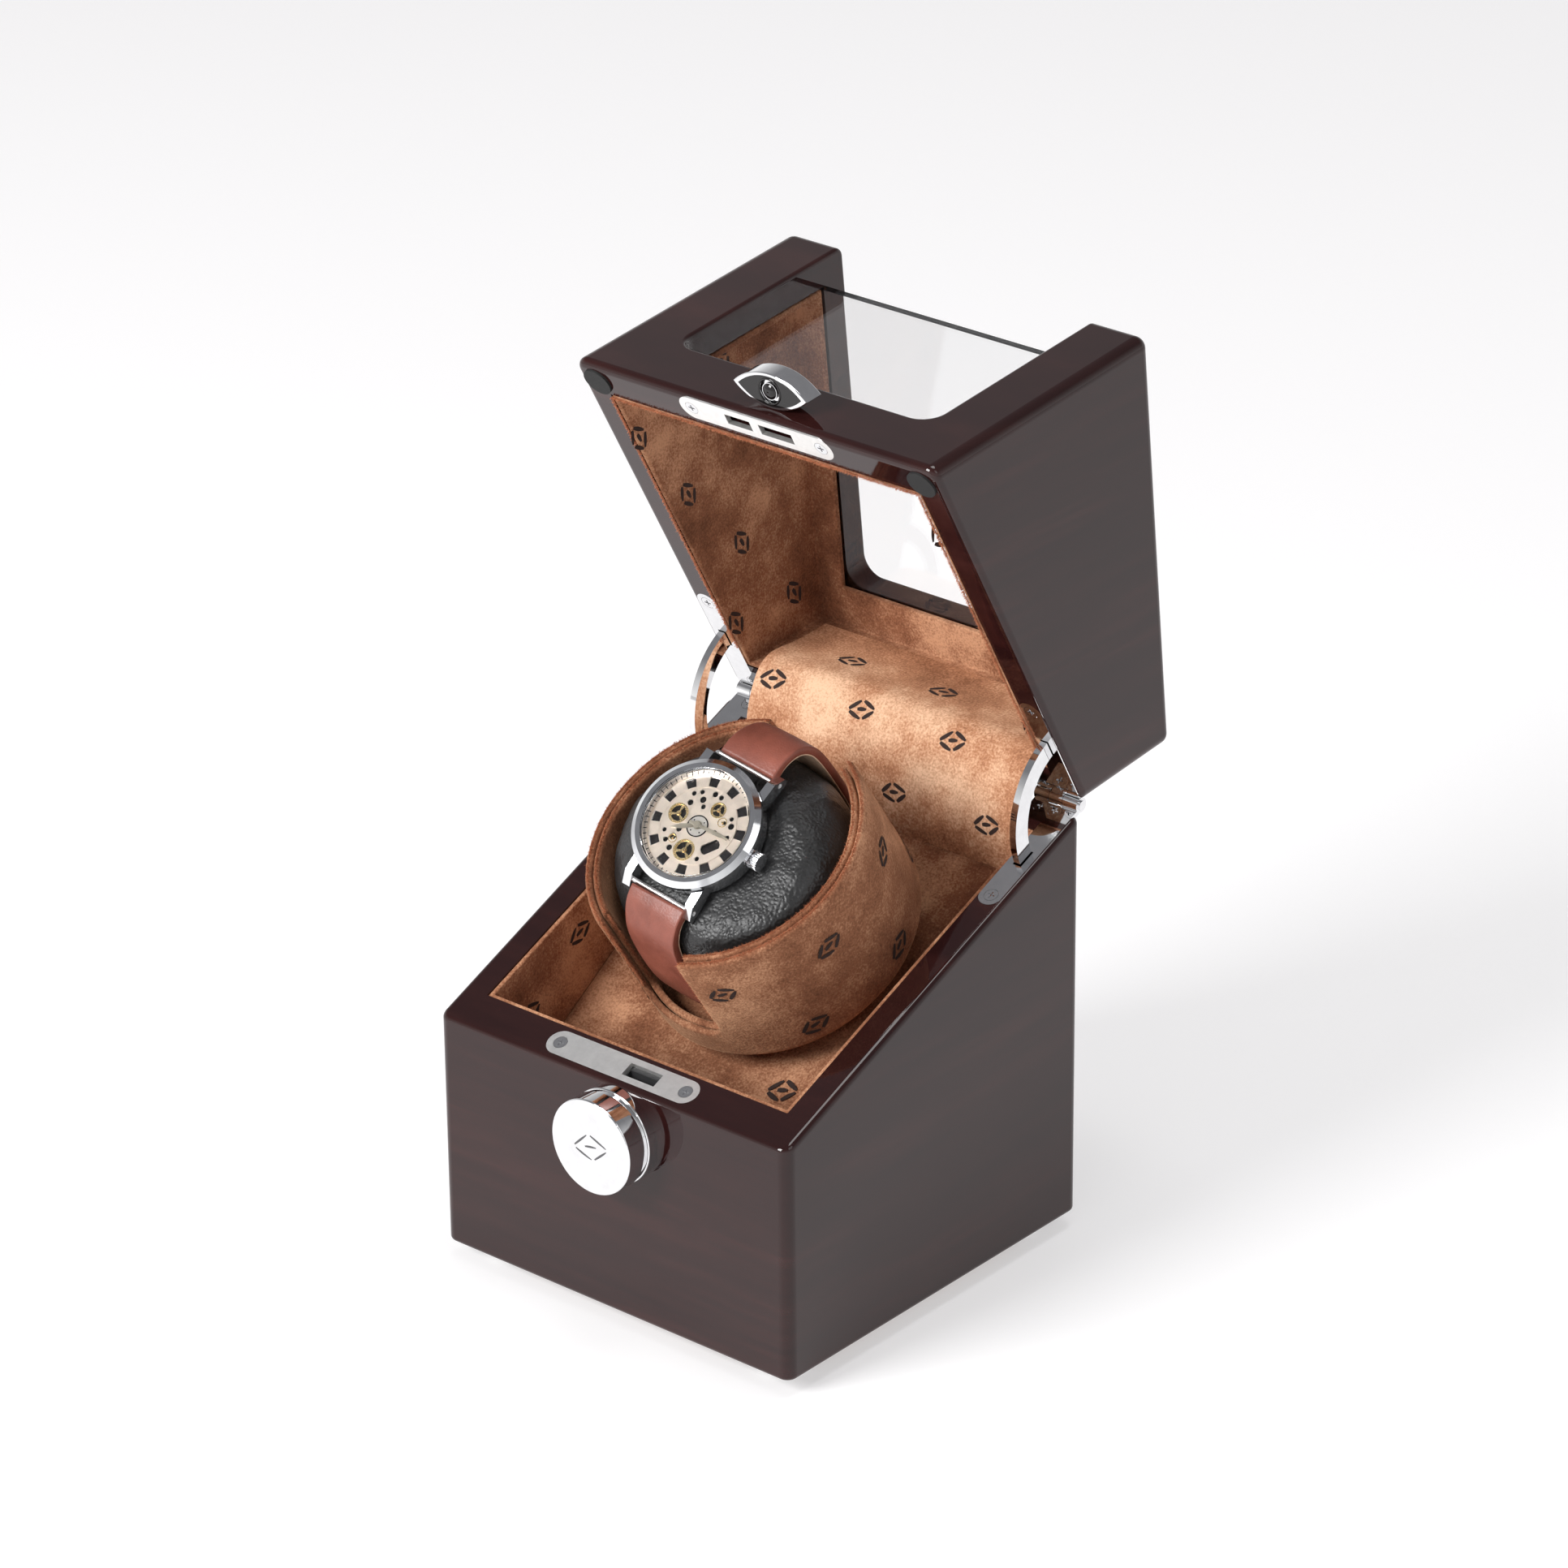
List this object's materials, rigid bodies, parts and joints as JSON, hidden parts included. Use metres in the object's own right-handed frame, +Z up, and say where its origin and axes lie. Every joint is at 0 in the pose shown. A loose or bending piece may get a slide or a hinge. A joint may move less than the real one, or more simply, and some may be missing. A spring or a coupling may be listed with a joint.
{
  "type": "watch winder box",
  "caption": "Lacquered single-watch winder box with a hinged windowed lid, a velvet lining and a tilted motor-driven drum that turns a watch on a cushion.",
  "frame": {"origin": "centre of the wooden underside of the base; the feet reach 5 mm below it", "axes": "+X to the right as seen from the front, -Y to the front where the push button is, +Z up; the lid is open at rest"},
  "size_m": [0.13, 0.1828, 0.2712],
  "materials": {
    "lacquer": "gloss lacquer, very dark brown",
    "velvet": "short-pile velvet, tan brown",
    "cushion_leather": "pebbled, soft sheen",
    "strap_leather": "smooth, waxed",
    "chrome": "polished",
    "watch_steel": "polished and brushed",
    "steel": "satin",
    "foot_metal": "satin",
    "black_rubber": "matte",
    "pane": "clear acrylic, polished",
    "crystal": "clear, polished",
    "brass": "turned",
    "movement": "brushed",
    "dial": "satin, cream",
    "hands": "satin",
    "board_wood": "plain plywood",
    "black_plastic": "fine grain",
    "gear_plastic": "moulded nylon",
    "board_green": "circuit laminate"
  },
  "bodies": {
    "base": {"base_shell": "lacquer", "base_lining": "velvet", "bottom_plate": "board_wood", "bottom_screws": "steel", "corner_blocks": "board_wood", "feet": "foot_metal", "foot_pads": "black_rubber", "motor_panel": "board_wood", "panel_cleats": "board_wood", "shaft_bushes": "brass", "motor_bridge": "steel", "bridge_posts": "steel", "gearmotor": "steel", "circuit_board": "board_green", "lock_plate": "chrome", "lock_body": "black_plastic", "button_collar": "chrome", "button_spring": "steel", "hinge_base_leaf_left": "chrome", "hinge_base_leaf_right": "chrome", "hinge_pins": "chrome", "base_screws": "chrome", "control_plate": "black_plastic", "power_jack": "black_plastic", "mode_switch": "black_plastic", "hinge_flap": "velvet"},
    "lid": {"lid_shell": "lacquer", "lid_lining": "velvet", "front_pane": "pane", "top_pane": "pane", "keeper_plate": "chrome", "lid_pull": "chrome", "bumpers": "black_rubber", "lid_screws": "chrome", "hinge_lid_leaf_left": "chrome", "hinge_lid_leaf_right": "chrome"},
    "stay_left": {"stay_arm_left": "chrome"},
    "stay_right": {"stay_arm_right": "chrome"},
    "button": {"button_cap": "chrome"},
    "latch": {"latch_bolt": "steel"},
    "drum": {"drum_cup": "velvet", "drum_sleeve": "velvet", "drum_shaft": "steel", "drive_gear": "gear_plastic", "shaft_clip": "steel", "cushion": "cushion_leather", "watch_case": "watch_steel", "watch_bezel": "watch_steel", "watch_crystal": "crystal", "watch_dial": "dial", "watch_movement": "movement", "spring_bars": "steel", "watch_strap": "strap_leather", "strap_buckle": "steel"},
    "rotor": {"motor_shaft": "steel", "motor_pinion": "gear_plastic"},
    "crown": {"watch_crown": "watch_steel"},
    "minute": {"minute_hand": "hands"},
    "hour": {"hour_hand": "hands"},
    "selector": {"mode_knob": "black_plastic"}
  },
  "joints": [
    {"name": "lid_hinge", "type": "hinge", "parent": "base", "child": "lid", "pos_m": [0, 0.0666, 0.12919], "axis": [1, 0, 0], "range_deg": [0, 84], "deforming": ["hinge_flap"]},
    {"name": "stay_left_slide", "type": "hinge", "parent": "base", "child": "stay_left", "pos_m": [0, 0.0666, 0.12919], "axis": [1, 0, 0], "range_deg": [0, 42]},
    {"name": "stay_right_slide", "type": "hinge", "parent": "base", "child": "stay_right", "pos_m": [0, 0.0666, 0.12919], "axis": [1, 0, 0], "range_deg": [0, 42]},
    {"name": "button_press", "type": "slide", "parent": "base", "child": "button", "axis": [0, 1, 0], "range_m": [0, 0.002], "stiffness_N_per_m": 600, "deforming": ["button_spring"]},
    {"name": "latch_lift", "type": "slide", "parent": "base", "child": "latch", "axis": [0, 0, 1], "range_m": [0, 0.0045]},
    {"name": "drum_turn", "type": "hinge", "parent": "base", "child": "drum", "pos_m": [0, -0.0148, 0.1293], "axis": [0, -0.5519, 0.8339], "continuous": true},
    {"name": "rotor_turn", "type": "hinge", "parent": "base", "child": "rotor", "pos_m": [0, 0.00011, 0.06302], "axis": [0, -0.5519, 0.8339], "continuous": true},
    {"name": "crown_turn", "type": "hinge", "parent": "drum", "child": "crown", "pos_m": [-0.00116, -0.0228, 0.13543], "axis": [0.9857, -0.0057, -0.1683], "continuous": true},
    {"name": "minute_turn", "type": "hinge", "parent": "drum", "child": "minute", "pos_m": [-0.00052, -0.02653, 0.13929], "axis": [0.118, -0.6897, 0.7144], "continuous": true},
    {"name": "hour_turn", "type": "hinge", "parent": "drum", "child": "hour", "pos_m": [-0.00052, -0.02653, 0.13929], "axis": [0.118, -0.6897, 0.7144], "continuous": true},
    {"name": "mode_turn", "type": "hinge", "parent": "base", "child": "selector", "pos_m": [-0.015, 0.065, 0.025], "axis": [0, 1, 0], "range_deg": [-60, 60]}
  ],
  "couplings": [
    {"joint": "stay_left_slide", "follows": "lid_hinge", "ratio": 0.5},
    {"joint": "stay_right_slide", "follows": "lid_hinge", "ratio": 0.5},
    {"joint": "rotor_turn", "follows": "drum_turn", "ratio": -3},
    {"joint": "hour_turn", "follows": "minute_turn", "ratio": 0.083333}
  ]
}
